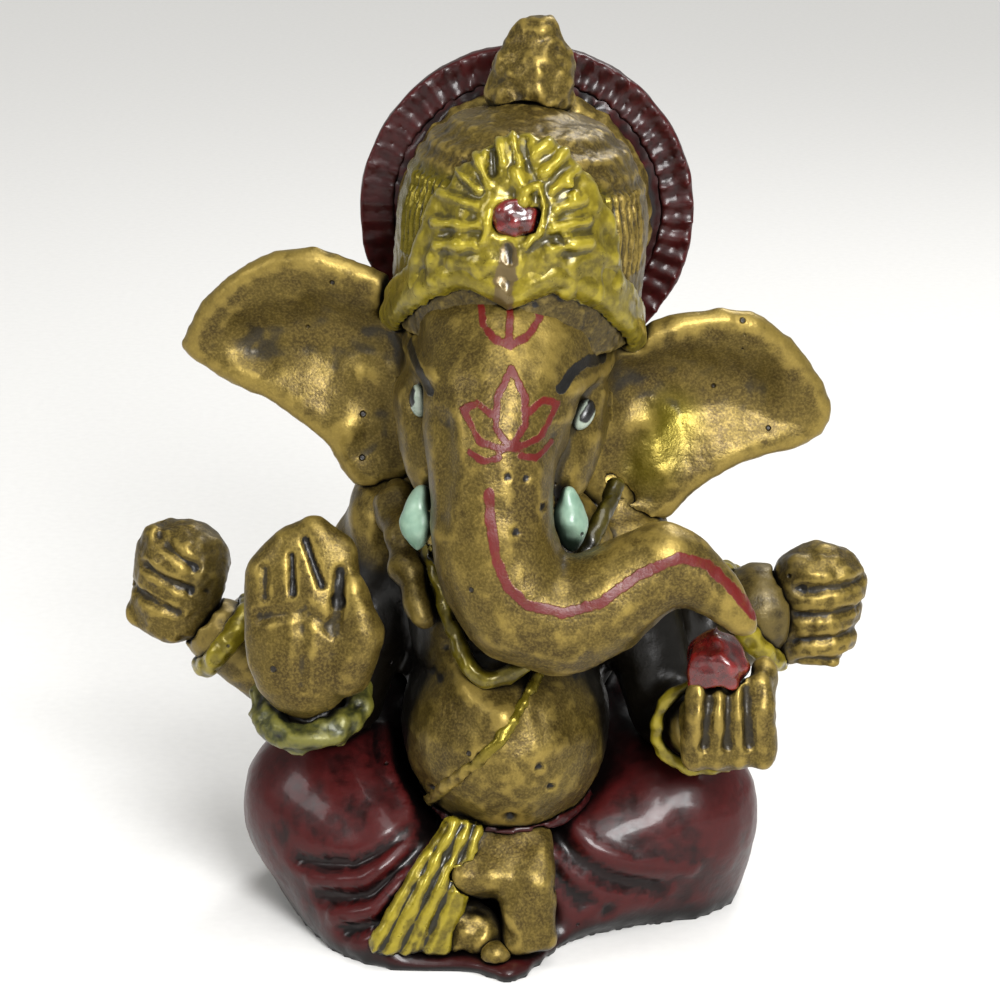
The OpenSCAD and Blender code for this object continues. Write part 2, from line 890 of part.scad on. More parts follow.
plinth();
robe_seat();
robe_right_leg();
robe_left_leg();
sash_pleats();
waistband();
upper_foot();
lower_foot();
toe();
torso();
belly();
sacred_thread();
necklace();
shoulder_lock();
head();
trunk();
right_ear();
left_ear();
right_tusk();
left_tusk();
eye(-1);  // right_eye
eye(1);  // left_eye
crown_cap();
crown_rim();
crown_band();
crown_plate();
crown_jewel();
crown_finial();
halo_disc();
halo_rim();
arm(0);  // right_rear_arm
bangle(0);  // right_rear_bangle
right_rear_hand();
arm(1);  // right_front_arm
bangle(1);  // right_front_bangle
right_front_hand();
right_thumb();
arm(2);  // left_rear_arm
bangle(2);  // left_rear_bangle
left_rear_hand();
arm(3);  // left_front_arm
bangle(3);  // left_front_bangle
left_front_hand();
sweet();
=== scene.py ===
import math

import bmesh
import bpy
import numpy as np
from mathutils import Matrix, Vector, noise


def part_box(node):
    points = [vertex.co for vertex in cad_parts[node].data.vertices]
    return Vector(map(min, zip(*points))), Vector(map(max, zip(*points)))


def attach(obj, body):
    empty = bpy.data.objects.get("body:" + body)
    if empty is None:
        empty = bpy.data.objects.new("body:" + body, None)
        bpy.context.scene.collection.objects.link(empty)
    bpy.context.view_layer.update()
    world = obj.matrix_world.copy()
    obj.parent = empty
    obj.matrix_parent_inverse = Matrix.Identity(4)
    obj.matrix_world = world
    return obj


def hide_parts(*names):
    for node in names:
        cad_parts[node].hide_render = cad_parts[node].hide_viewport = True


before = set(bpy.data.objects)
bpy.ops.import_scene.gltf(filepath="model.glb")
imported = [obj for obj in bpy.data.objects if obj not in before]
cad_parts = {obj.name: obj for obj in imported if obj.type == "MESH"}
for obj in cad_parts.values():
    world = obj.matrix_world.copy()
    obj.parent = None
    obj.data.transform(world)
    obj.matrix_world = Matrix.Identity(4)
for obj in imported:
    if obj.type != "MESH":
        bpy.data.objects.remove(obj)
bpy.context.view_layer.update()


# ---- Table, light and camera ----
# A plain pale card under the figure, and a soft overcast room round it. A soft lamp stands high in
# front on the figure's left, a weak one on its right, one behind picks out edges, and a far one hangs
# overhead.

def hue(code):
    """A colour's sRGB hex code as the linear values that a shader takes."""
    parts = [int(code[i:i + 2], 16) / 255 for i in (1, 3, 5)]
    return tuple(c / 12.92 if c <= 0.04045 else ((c + 0.055) / 1.055) ** 2.4 for c in parts) + (1.0,)


def node(tree, kind, sockets=(), **settings):
    """Adds one node with its settings. sockets gives its inputs, by name or in order, a value each or
    what feeds it: an output, or a node, which feeds it from the first of its outputs in use."""
    new = tree.nodes.new("ShaderNode" + kind)
    for key, value in settings.items():
        setattr(new, key, value)
    if isinstance(sockets, dict):
        filled = [(new.inputs[key], value) for key, value in sockets.items()]
    else:
        filled = zip([socket for socket in new.inputs if socket.enabled], sockets)
    for socket, value in filled:
        if isinstance(value, bpy.types.Node):
            value = next(output for output in value.outputs if output.enabled)
        if isinstance(value, bpy.types.NodeSocket):
            tree.links.new(value, socket)
        else:
            socket.default_value = value
    return new


def blank(name):
    """A material with nothing in its tree but the output."""
    material = bpy.data.materials.new(name)
    material.use_nodes = True
    material.node_tree.nodes.clear()
    return material, material.node_tree


def show(name, mesh):
    """A new object for a mesh, smooth, standing at the origin."""
    piece = bpy.data.objects.new(name, mesh)
    bpy.context.scene.collection.objects.link(piece)
    mesh.polygons.foreach_set("use_smooth", [True] * len(mesh.polygons))
    return piece


card, tree = blank("matt_paper_card")  # uncoated white card: even and without gloss
where = node(tree, "TexCoord").outputs["Object"]
speck = node(tree, "TexNoise", {"Vector": where, "Scale": 900.0, "Detail": 2.0})  # about 1 mm
pale = node(tree, "Mix", (speck, hue("#D4D3D1"), hue("#DCDBD9")), data_type="RGBA")
shader = node(tree, "BsdfPrincipled", {"Base Color": pale, "Roughness": 0.9})
node(tree, "OutputMaterial", {"Surface": shader})

ground = bmesh.new()
bmesh.ops.create_grid(ground, x_segments=4, y_segments=4, size=2.0)
card_mesh = bpy.data.meshes.new("table_card")
ground.to_mesh(card_mesh)
ground.free()
table = show("table_card", card_mesh)
table.data.materials.append(card)

room = bpy.data.worlds.new("overcast_room")
bpy.context.scene.world = room
room.use_nodes = True
sky = room.node_tree.nodes["Background"]
sky.inputs["Color"].default_value = hue("#F6F6F2")
sky.inputs["Strength"].default_value = 0.42

look_at = Vector((0.0, 0.0, 0.0373))
for name, spot, size, power in (
    ("front_lamp", (0.09, -0.31, 0.21), 0.12, 1.8),
    ("side_lamp", (-0.28, -0.18, 0.20), 0.10, 0.3),
    ("edge_lamp", (0.12, 0.22, 0.28), 0.10, 0.4),
):
    lamp = bpy.data.lights.new(name, "AREA")
    lamp.size = size
    lamp.energy = power
    stand = bpy.data.objects.new(name, lamp)
    stand.location = spot
    stand.rotation_euler = (look_at - Vector(spot)).to_track_quat("-Z", "Y").to_euler()
    bpy.context.scene.collection.objects.link(stand)

# A far, broad lamp overhead keeps the card evenly white out to its edge.
far_lamp = bpy.data.lights.new("ceiling_lamp", "SUN")
far_lamp.energy = 1.9
far_lamp.angle = math.radians(40)
ceiling = bpy.data.objects.new("ceiling_lamp", far_lamp)
ceiling.rotation_euler = (math.radians(22), math.radians(14), 0)
bpy.context.scene.collection.objects.link(ceiling)

# The camera looks down on the figure from straight in front, with a long lens.
lift = math.radians(17.0)
reach = 0.3
lens = bpy.data.cameras.new("camera")
lens.lens = 118.6
lens.sensor_width = 36.0
lens.clip_start, lens.clip_end = 0.01, 10.0
camera = bpy.data.objects.new("camera", lens)
camera.location = look_at + reach * Vector((0.0, -math.cos(lift), math.sin(lift)))
camera.rotation_euler = (look_at - camera.location).to_track_quat("-Z", "Y").to_euler()
bpy.context.scene.collection.objects.link(camera)
bpy.context.scene.camera = camera
bpy.context.scene.view_settings.view_transform = "Standard"


# ---- Plinth and robe ----
# The foot of the casting: a thin flat base, and over it the robe round the hips and the folded legs.
# It is one lump of cast stone with no seam, so it is made as one skin and then parted at planes.
# All of it is brushed with glossy maroon enamel, thin over the folds and almost black low down.

def points(piece):
    """A piece's vertices in mm, and the way each one faces."""
    count = len(piece.data.vertices)
    co, out = np.empty(count * 3, np.float32), np.empty(count * 3, np.float32)
    piece.data.vertices.foreach_get("co", co)
    piece.data.vertex_normals.foreach_get("vector", out)
    return co.reshape(-1, 3).astype(float) * 1000, out.reshape(-1, 3).astype(float)


def place(piece, co):
    """Puts a piece's vertices at co, in mm."""
    piece.data.vertices.foreach_set("co", (co / 1000).astype(np.float32).ravel())
    piece.data.update()


def middle(name):
    """The middle of a CAD node's box, in mm."""
    low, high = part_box(name)
    return np.array((low + high) / 2) * 1000


def eased(piece, co, rounds, swell=-0.53):
    """co after rounds of drawing each vertex towards its neighbours, and back again by swell."""
    ends = np.empty(len(piece.data.edges) * 2, np.int32)
    piece.data.edges.foreach_get("vertices", ends)
    a, b = ends[::2], ends[1::2]
    near = np.bincount(ends, minlength=len(co))[:, None]
    for pull in [0.5, swell] * rounds:
        around = np.stack([np.bincount(a, co[b, k], len(co)) + np.bincount(b, co[a, k], len(co))
                           for k in range(3)], 1)
        co = co + pull * (around / near - co)
    return co


def skin(name, nodes, cell, rounds):
    """One smooth closed skin over CAD solids that meet, with cells of half of cell, in mm. Facets are
    rounded off over as many rounds, and the volume stays."""
    work = bmesh.new()
    for solid in nodes:
        work.from_mesh(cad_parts[solid].data)
    bmesh.ops.remove_doubles(work, verts=work.verts, dist=1e-6)
    mesh = bpy.data.meshes.new(name)
    work.to_mesh(mesh)
    work.free()
    piece = show(name, mesh)
    for kind, settings in (("REMESH", {"mode": "VOXEL", "voxel_size": cell / 1000}),
                           ("SUBSURF", {"levels": 1, "render_levels": 1})):
        modifier = piece.modifiers.new(kind, kind)
        for key, value in settings.items():
            setattr(modifier, key, value)
        done = bpy.data.meshes.new_from_object(
            piece.evaluated_get(bpy.context.evaluated_depsgraph_get()))
        piece.modifiers.clear()
        piece.data = done
        if kind == "REMESH":
            place(piece, eased(piece, points(piece)[0], rounds))
    piece.data.polygons.foreach_set("use_smooth", [True] * len(piece.data.polygons))
    return piece


def away(co, line):
    """Each point's distance from a line of places: (x, z) places are measured square to the front."""
    line = np.array(line, float)
    flat = co[:, [0, 2]] if line.shape[1] == 2 else co
    if len(line) == 1:
        return np.linalg.norm(flat - line[0], axis=1)
    near = np.full(len(flat), 1e9)
    for a, b in zip(line[:-1], line[1:]):
        ab = b - a
        share = np.clip((flat - a) @ ab / max(ab @ ab, 1e-9), 0, 1)
        near = np.minimum(near, np.linalg.norm(flat - a - share[:, None] * ab, axis=1))
    return near


def tint(piece, layer, amount):
    """Adds an amount at each vertex to one of the layers that the paint reads."""
    mesh = piece.data
    held = mesh.attributes.get(layer) or mesh.attributes.new(layer, "FLOAT", "POINT")
    now = np.zeros(len(mesh.vertices), np.float32)
    held.data.foreach_get("value", now)
    held.data.foreach_set("value", (now + amount).astype(np.float32))


def press(piece, line, reach, depth, front=99.0, dark=0.0):
    """Presses a line into the skin, depth mm at its middle and nothing at reach; below 0 it is raised.
    Lines of (x, z) work only on what faces the front and lies nearer than front. dark adds to the
    layer of wash and painted shade."""
    co, out = points(piece)
    fade = np.clip(1 - away(co, line) / reach, 0, 1)
    fade = fade * fade * (3 - 2 * fade)
    if len(line[0]) == 2:
        fade = fade * (out[:, 1] < 0.25) * (co[:, 1] < front)
    place(piece, co - out * (depth * fade)[:, None])
    if dark:
        tint(piece, "wash_and_shade", fade * dark)


def lumps(piece, size, height, seed=0.0):
    """Uneven casting: soft lumps of about size mm across and height mm high."""
    co, out = points(piece)
    rise = np.array([noise.noise(Vector(p) / size + Vector((seed, seed * 2, 0))) for p in co])
    place(piece, co + out * (rise * height)[:, None])


def wear(piece):
    """Marks crests above 0 and creases below 0 in the layer of crests, for rubbed paint, and for wash
    and painted shade in the creases.
    """
    co, out = points(piece)
    rise = np.sum((co - eased(piece, co, 5, 0.5)) * out, axis=1)
    tint(piece, "crest_and_highlight", np.clip(rise / 0.07, -1, 1))


def part(source, name, *planes):
    """The part of a skin in front of every plane, each given as (place, facing) in mm, closed again."""
    work = bmesh.new()
    work.from_mesh(source.data)
    for spot, facing in planes:
        everything = work.verts[:] + work.edges[:] + work.faces[:]
        bmesh.ops.bisect_plane(work, geom=everything, dist=1e-7, plane_co=Vector(spot) / 1000,
                               plane_no=Vector(facing), clear_inner=True)
        rim = [e for e in work.edges if e.is_boundary]
        lids = bmesh.ops.holes_fill(work, edges=rim, sides=0)["faces"]
        for lid in lids:
            lid.smooth = False
            for edge in lid.edges:
                edge.smooth = False
    bmesh.ops.recalc_face_normals(work, faces=work.faces)
    mesh = bpy.data.meshes.new(name)
    work.to_mesh(mesh)
    work.free()
    piece = bpy.data.objects.new(name, mesh)
    bpy.context.scene.collection.objects.link(piece)
    return piece


def settle(piece, cad_node, material):
    """Gives a finished piece its paint, hangs it on the root body, and hides the CAD node in its place.
    """
    if "crest_and_highlight" not in piece.data.attributes:
        wear(piece)
    piece.data.materials.clear()
    piece.data.materials.append(material)
    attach(piece, "root")
    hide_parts(cad_node)


def painted(name, glint, bright, dull, shade_and_wash_colour, metal, rough, grain_mm, grain, coat=0.0, wash_and_shade=1.0,
            shine=0.5):
    """Brushed paint on a casting: glint on rubbed crests and on painted highlights, bright and dull in
    clouds, and a dark wash with painted shade in the hollows. Reads the layers of crests and painted
    highlights, of wash and painted shade, of lacquer, bare, red and black; pinholes go through it all."""
    material, tree = blank(name)
    where = node(tree, "TexCoord").outputs["Object"]
    soft = {"interpolation_type": "SMOOTHSTEP"}
    tinted = {"data_type": "RGBA"}

    # Uneven brushing about 4 mm across, finer mottling of 0.9 mm, and the grain of the powder.
    cloud = node(tree, "TexNoise", {"Vector": where, "Scale": 240.0, "Detail": 3.0, "Roughness": 0.6})
    mottle = node(tree, "TexNoise", {"Vector": where, "Scale": 1100.0, "Detail": 3.0,
                                     "Roughness": 0.65})
    powder = node(tree, "TexNoise", {"Vector": where, "Scale": 1000.0 / grain_mm, "Detail": 2.0})
    uneven = node(tree, "Math", (mottle, 0.5), operation="SUBTRACT")
    crest_and_highlight = node(tree, "Attribute", attribute_name="crest_and_highlight").outputs["Fac"]

    # Painted shade and the real dark wash together: where neighbours come within 5 mm, in creases, and
    # where the layer of wash and painted shade was laid on.
    occlusion_shade = node(tree, "AmbientOcclusion", {"Distance": 0.005}, samples=12).outputs["AO"]
    near = node(tree, "MapRange", (occlusion_shade, 0.66, 0.12), **soft)
    crease = node(tree, "MapRange", (crest_and_highlight, -0.15, -0.9), **soft)
    laid = node(tree, "Attribute", attribute_name="wash_and_shade").outputs["Fac"]
    shade_and_wash = node(tree, "Math", (near, 1.3 * wash_and_shade), operation="MULTIPLY")
    shade_and_wash = node(tree, "Math", (crease, 0.6 * wash_and_shade, shade_and_wash), operation="MULTIPLY_ADD")
    shade_and_wash = node(tree, "Math", (shade_and_wash, laid), operation="ADD")
    shade_and_wash = node(tree, "Math", (uneven, 0.12, shade_and_wash), operation="MULTIPLY_ADD", use_clamp=True)
    shade_and_wash = node(tree, "MapRange", (shade_and_wash, 0.08, 0.9), **soft)

    # Dull and bright paint in clouds, with powder grains, rubbed crests, and the painted highlights
    # that the crest layer also carries.
    patch = node(tree, "Math", (uneven, 0.3, cloud), operation="MULTIPLY_ADD")
    share = node(tree, "MapRange", (patch, 0.3, 0.7), **soft)
    colour = node(tree, "Mix", (share, hue(dull), hue(bright)), **tinted)
    grains = node(tree, "MapRange", (powder, 0.35, 0.75, 0.0, 0.25), **soft)
    colour = node(tree, "Mix", (grains, colour, hue(glint)), **tinted)
    raised = node(tree, "Math", (crest_and_highlight, uneven), operation="ADD")
    rubbed_and_highlit = node(tree, "MapRange", (raised, 0.2, 1.0, 0.0, 0.5), **soft)
    colour = node(tree, "Mix", (rubbed_and_highlit, colour, hue(glint)), **tinted)

    # Yellow lacquer over it, and places where the paint has come off and the bare cast shows.
    lacquer = node(tree, "Attribute", attribute_name="lacquer").outputs["Fac"]
    lacquer = node(tree, "MapRange", (lacquer, 0.0, 1.0, 0.0, 0.8), **soft)
    colour = node(tree, "Mix", (lacquer, colour, hue("#62580A")), **tinted)
    bare = node(tree, "Attribute", attribute_name="bare").outputs["Fac"]
    bare = node(tree, "Math", (bare, uneven), operation="ADD")
    bare = node(tree, "MapRange", (bare, 0.35, 0.6), **soft)
    colour = node(tree, "Mix", (bare, colour, hue("#574828")), **tinted)
    colour = node(tree, "Mix", (shade_and_wash, colour, hue(shade_and_wash_colour)), **tinted)
    metallic = node(tree, "Math", (shade_and_wash, -0.8 * metal, metal), operation="MULTIPLY_ADD")
    roughness = node(tree, "Math", (uneven, 0.3, rough), operation="MULTIPLY_ADD")
    roughness = node(tree, "Math", (lacquer, -0.15, roughness), operation="MULTIPLY_ADD")

    # Brush strokes: the layers hold 2 and the mm inside the stroke's edge, which wavers by 0.1 mm.
    waver = node(tree, "Math", (uneven, 0.5, -2.0), operation="MULTIPLY_ADD")
    red = node(tree, "Attribute", attribute_name="red").outputs["Fac"]
    red = node(tree, "Math", (red, waver), operation="ADD")
    red = node(tree, "MapRange", (red, 0.0, 0.14), **soft)
    black = node(tree, "Attribute", attribute_name="black").outputs["Fac"]
    black = node(tree, "Math", (black, waver), operation="ADD")
    black = node(tree, "MapRange", (black, 0.0, 0.14), **soft)
    thin = node(tree, "MapRange", (mottle, 0.2, 0.5, 0.75, 1.0), **soft)
    cover = node(tree, "Math", (red, thin), operation="MULTIPLY")
    reds = node(tree, "Mix", (cloud, hue("#3E0603"), hue("#5C0B06")), **tinted)
    colour = node(tree, "Mix", (cover, colour, reds), **tinted)
    colour = node(tree, "Mix", (black, colour, hue("#090807")), **tinted)
    stroke = node(tree, "Math", (red, black), operation="MAXIMUM")
    unmarked = node(tree, "Math", (1.0, stroke), operation="SUBTRACT")
    metallic = node(tree, "Math", (metallic, unmarked), operation="MULTIPLY")

    # Pinholes 0.3 to 0.6 mm across, one in every few cells of 2.4 mm.
    cells = node(tree, "TexVoronoi", {"Vector": where, "Scale": 410.0, "Randomness": 1.0})
    rare = node(tree, "SeparateColor", {"Color": cells.outputs["Color"]})
    size = node(tree, "Math", (rare.outputs["Green"], 0.09), operation="MULTIPLY")
    lip = node(tree, "Math", (size, 0.06), operation="ADD")
    hole = node(tree, "MapRange", (cells, lip, size), **soft)
    chosen = node(tree, "Math", (rare.outputs["Red"], 0.78), operation="GREATER_THAN")
    hole = node(tree, "Math", (hole, chosen), operation="MULTIPLY")
    depth = node(tree, "Math", (hole, 0.95), operation="MULTIPLY")
    colour = node(tree, "Mix", (depth, colour, hue("#0D0805")), **tinted)
    whole = node(tree, "Math", (1.0, hole), operation="SUBTRACT")
    metallic = node(tree, "Math", (metallic, whole), operation="MULTIPLY")

    # Relief in mm: grain and mottling, the clouds' brush ridges, strokes that stand up, and holes.
    height = node(tree, "Math", (powder, grain), operation="MULTIPLY")
    height = node(tree, "Math", (mottle, grain * 2.2, height), operation="MULTIPLY_ADD")
    height = node(tree, "Math", (cloud, 0.08, height), operation="MULTIPLY_ADD")
    height = node(tree, "Math", (stroke, 0.04, height), operation="MULTIPLY_ADD")
    height = node(tree, "Math", (hole, -0.25, height), operation="MULTIPLY_ADD")
    bump = node(tree, "Bump", {"Height": height, "Distance": 0.001, "Strength": 1.0})
    shader = node(tree, "BsdfPrincipled", {
        "Base Color": colour, "Metallic": metallic if metal else 0.0, "Roughness": roughness,
        "Specular IOR Level": shine, "Coat Weight": coat, "Coat Roughness": 0.12, "Normal": bump})
    node(tree, "OutputMaterial", {"Surface": shader})
    return material


# Glossy alkyd enamel, brushed on: deep maroon that mirrors the room in soft patches.
maroon = painted("maroon_brushed_enamel", "#461010", "#2C0909", "#180505", "#050202", 0.0, 0.38,
                 grain_mm=0.9, grain=0.012, coat=0.15, shine=0.2)

robe = skin("robe", ["plinth", "robe_seat", "robe_right_leg", "robe_left_leg"], 1.2, 50)
lap = middle("waistband")
for line, reach, depth in (
    # folds over the right shin, which run up to where the sash is tucked in
    ([(-18.6, -4.6), (-13.6, -4.0), (-9.6, -1.8), (-6.0, 0.4)], 1.2, 0.8),
    ([(-16.4, -7.4), (-12.0, -6.2), (-9.2, -3.6), (-6.4, -0.8)], 1.2, 0.9),
    ([(-14.2, -9.6), (-11.2, -8.4), (-8.6, -5.4)], 1.2, 0.9),
    ([(-17.4, -6.0), (-12.8, -5.0), (-9.4, -2.6), (-6.2, -0.2)], 0.9, -0.5),
    ([(-15.4, -8.8), (-11.6, -7.3), (-8.8, -4.6)], 0.9, -0.5),
    ([(-13.4, -11.0), (-11.6, -9.6)], 1.2, -0.4),
    # the robe's edge beside the belly
    ([(-8.4, 0.6), (-10.4, 2.6), (-11.4, 5.6)], 1.0, -0.6),
    ([(-7.2, 0.6), (-9.0, 2.8), (-9.8, 5.6)], 1.0, 0.8),
    # folds over the left shin
    ([(4.4, -2.0), (6.4, -4.4), (9.4, -6.4), (13.6, -8.0)], 1.4, 0.8),
    ([(5.6, -1.2), (8.0, -3.4), (11.6, -5.0), (16.6, -6.2)], 1.3, -0.4),
    ([(4.2, -5.2), (6.0, -7.6), (9.0, -9.4)], 1.2, 0.7),
    ([(8.0, -9.0)], 1.4, -0.7),
):
    # The pressed folds are darkened a little in their grooves: painted shade.
    press(robe, [(lap[0] + x, lap[2] + z) for x, z in line], reach, depth, front=-4.0,
          dark=0.08 if depth > 0 else 0.0)
# pleats that fan down the back of the robe
back = middle("robe_seat")
for x, z, lean in ((-11, 4, -3), (-6, 6, -2), (-1, 6.5, 0.5), (5, 6, 2), (10, 4, 3)):
    run = [(back[0] + x + lean * t, back[1] + 9 + 5 * t, back[2] + z - 12 * t)
           for t in (0, 0.35, 0.7, 1)]
    press(robe, run, 2.4, 0.6)
    press(robe, [(p[0] + 2.1, p[1], p[2]) for p in run], 1.8, -0.35)
lumps(robe, 3.2, 0.14, 1.0)
lumps(robe, 1.1, 0.05, 2.0)
wear(robe)
co, out = points(robe)
tint(robe, "wash_and_shade", np.clip((3.4 - co[:, 2]) / 5.0, 0, 0.5))  # darker towards the ground
co[:, 2] = np.where(co[:, 2] < 0.3, 0.0, co[:, 2])  # the underside was rubbed flat
place(robe, co)

plinth_top = 1000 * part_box("plinth")[1].z
hip = back[1] - 0.5
between_legs = 0.3
for name, planes in (
    ("plinth", [((0, 0, plinth_top), (0, 0, -1))]),
    ("robe_seat", [((0, 0, plinth_top), (0, 0, 1)), ((0, hip, 0), (0, 1, 0))]),
    ("robe_right_leg", [((0, 0, plinth_top), (0, 0, 1)), ((0, hip, 0), (0, -1, 0)),
                        ((between_legs, 0, 0), (-1, 0, 0))]),
    ("robe_left_leg", [((0, 0, plinth_top), (0, 0, 1)), ((0, hip, 0), (0, -1, 0)),
                       ((between_legs, 0, 0), (1, 0, 0))]),
):
    settle(part(robe, name + "_cast", *planes), name, maroon)
bpy.data.objects.remove(robe)


# ---- Waistband and sash ----
# A cord line under the belly, and the robe's pleated end, which is tucked under it and hangs to the
# base. Both are raised on the casting; the sash is gilt with yellow lacquer over it.

band = skin("waistband_cast", ["waistband"], 0.4, 3)
lumps(band, 1.2, 0.1, 3.0)
tint(band, "wash_and_shade", np.full(len(band.data.vertices), 0.35))
settle(band, "waistband", maroon)

# Yellow-tinted lacquer over gilt: reads as greenish gold with wet highlights.
lacquered = painted("yellow_lacquer_over_gilt", "#A6962A", "#6E6110", "#4A400C", "#0C0A02", 0.4, 0.32,
                    grain_mm=0.5, grain=0.02, coat=0.2, shine=0.35)

sash = skin("sash_pleats_cast", ["sash_pleats"], 0.4, 14)
hem = middle("sash_pleats")
for x0, x1 in ((-0.2, -3.2), (1.2, -1.4), (2.4, 0.6)):
    press(sash, [(hem[0] + 2.0 + x0, hem[2] + 5.6), (hem[0] + 0.4 + (x0 + x1) / 2, hem[2]),
                 (hem[0] - 0.9 + x1, hem[2] - 5.8)], 0.7, 0.4, dark=0.12)
lumps(sash, 1.6, 0.25, 4.0)
tint(sash, "wash_and_shade", np.full(len(sash.data.vertices), 0.08))
settle(sash, "sash_pleats", lacquered)


# ---- Feet ----
# The upper foot lies over the lower one and leaves an arch, in which the lower foot's sole and toe
# show. Gilt, rubbed bright on the ankle.

# Bronze-powder paint over a dark ground: brassy brown, satin, brighter where rubbed.
gilt = painted("antique_bronze_powder_gilt", "#A18A44", "#54461C", "#3C3013", "#090602", 0.62, 0.4,
               grain_mm=0.22, grain=0.02, shine=0.35)

foot = skin("upper_foot_cast", ["upper_foot"], 0.4, 14)
instep = middle("upper_foot")
press(foot, [(instep[0] - 1.0, instep[2] - 1.6), (instep[0] + 0.4, instep[2] - 3.4)], 1.2, 0.4,
      dark=0.1)
lumps(foot, 2.0, 0.25, 5.0)
settle(foot, "upper_foot", gilt)
sole = skin("lower_foot_cast", ["lower_foot"], 0.36, 3)
lumps(sole, 1.3, 0.4, 6.0)
settle(sole, "lower_foot", gilt)
toe = skin("toe_cast", ["toe"], 0.3, 2)
settle(toe, "toe", gilt)


# ---- Torso, belly and arms ----
# One skin of gilt casting. The chest is nearly hidden behind the trunk; the belly stands out over the
# lap, with a small navel; the arms leave the shoulders in pairs. Painted shade is laid thick between
# them.

body = skin("body", ["torso", "belly", "right_rear_arm", "right_front_arm", "left_rear_arm",
                     "left_front_arm"], 0.66, 9)
paunch = middle("belly")
press(body, [(paunch[0] + 0.4, paunch[2] - 4.6)], 1.0, 0.7, front=-12, dark=0.9)
for x, z, reach in ((-6.4, -2.9, 0.7), (-2.2, 1.8, 0.5), (2.9, 0.8, 0.5), (4.0, -1.5, 0.4)):
    press(body, [(paunch[0] + x, paunch[2] + z)], reach, 0.6, front=-10, dark=1.4)
press(body, [(paunch[0] - 4.4, paunch[2] + 8.2), (paunch[0] - 2.8, paunch[2] + 6.4),
             (paunch[0] - 0.4, paunch[2] + 5.2)], 2.0, -0.7, front=-10)
lumps(body, 3.0, 0.2, 7.0)
lumps(body, 1.0, 0.06, 8.0)
co, out = points(body)
chest = middle("torso")
# Painted shade lies in the gap between belly and arms: below the breast, behind the belly's front, on
# what doesn't face the back, and outside the belly's round.
gap_shade = np.clip((chest[2] + 5.0 - co[:, 2]) / 3.0, 0, 1) * np.clip((co[:, 1] + 15.5) / 3.0, 0, 1)
gap_shade *= np.clip((0.5 - out[:, 1]) / 0.4, 0, 1) * np.clip((20 - np.abs(co[:, 0])) / 3.0, 0, 1)
gap_shade *= np.clip((np.hypot(co[:, 0] - paunch[0], (co[:, 2] - paunch[2] + 2) * 0.9) - 7.6) / 1.6, 0, 1)
tint(body, "wash_and_shade", gap_shade * 0.9)
# Painted shade is also laid on the arms, thicker on the left ones.
arm_shade = np.clip((np.abs(co[:, 0] - chest[0]) - 12.5) / 2, 0, 1) * np.clip((co[:, 2] - 19) / 3, 0, 1)
tint(body, "wash_and_shade", arm_shade * np.where(co[:, 0] > 0, 0.55, 0.3))
wear(body)
armpit = (chest[0] - 12.0, chest[0] + 11.6)
flank, elbow = (0, -6.0, 0), (0, -1.5, 0)
settle(part(body, "torso_cast", ((armpit[0], 0, 0), (1, 0, 0)), ((armpit[1], 0, 0), (-1, 0, 0)),
            (flank, (0, 1, 0))), "torso", gilt)
settle(part(body, "belly_cast", ((armpit[0], 0, 0), (1, 0, 0)), ((armpit[1], 0, 0), (-1, 0, 0)),
            (flank, (0, -1, 0))), "belly", gilt)
for side, at in (("right", 0), ("left", 1)):
    outer = ((armpit[at], 0, 0), (at * 2 - 1, 0, 0))
    settle(part(body, side + "_rear_arm_cast", outer, (elbow, (0, 1, 0))), side + "_rear_arm", gilt)
    settle(part(body, side + "_front_arm_cast", outer, (elbow, (0, -1, 0))), side + "_front_arm", gilt)
bpy.data.objects.remove(body)


# ---- Thread, necklace and shoulder lock ----
# Raised cords modelled on the body before casting. The thread crosses the belly from under the
# trunk; the necklace hangs behind the trunk; a thick lock of hair lies on the right shoulder.

thread = skin("sacred_thread_cast", ["sacred_thread"], 0.4, 2)
lumps(thread, 0.9, 0.12, 9.0)
co, out = points(thread)
tint(thread, "lacquer", np.clip((co[:, 2] - middle("sacred_thread")[2] + 3) / 4, 0, 1))
settle(thread, "sacred_thread", gilt)

beads = skin("necklace_cast", ["necklace"], 0.36, 3)
co, out = points(beads)
place(beads, co - out * 0.3)
lumps(beads, 1.4, 0.3, 9.5)
co, out = points(beads)
tint(beads, "wash_and_shade", 0.35 + np.clip((co[:, 0] - 3) / 3, 0, 1) * 0.3)
settle(beads, "necklace", lacquered)

lock = skin("shoulder_lock_cast", ["shoulder_lock"], 0.4, 4)
lumps(lock, 2.4, 0.6, 10.0)
tint(lock, "wash_and_shade", np.full(len(lock.data.vertices), 0.3))
settle(lock, "shoulder_lock", gilt)


# ---- Hands and the sweet ----
# The two rear hands are closed, the right front one is raised with its palm out, and the left front
# one holds a heaped sweet under the trunk's tip. The finger gaps are filled with dark wash.

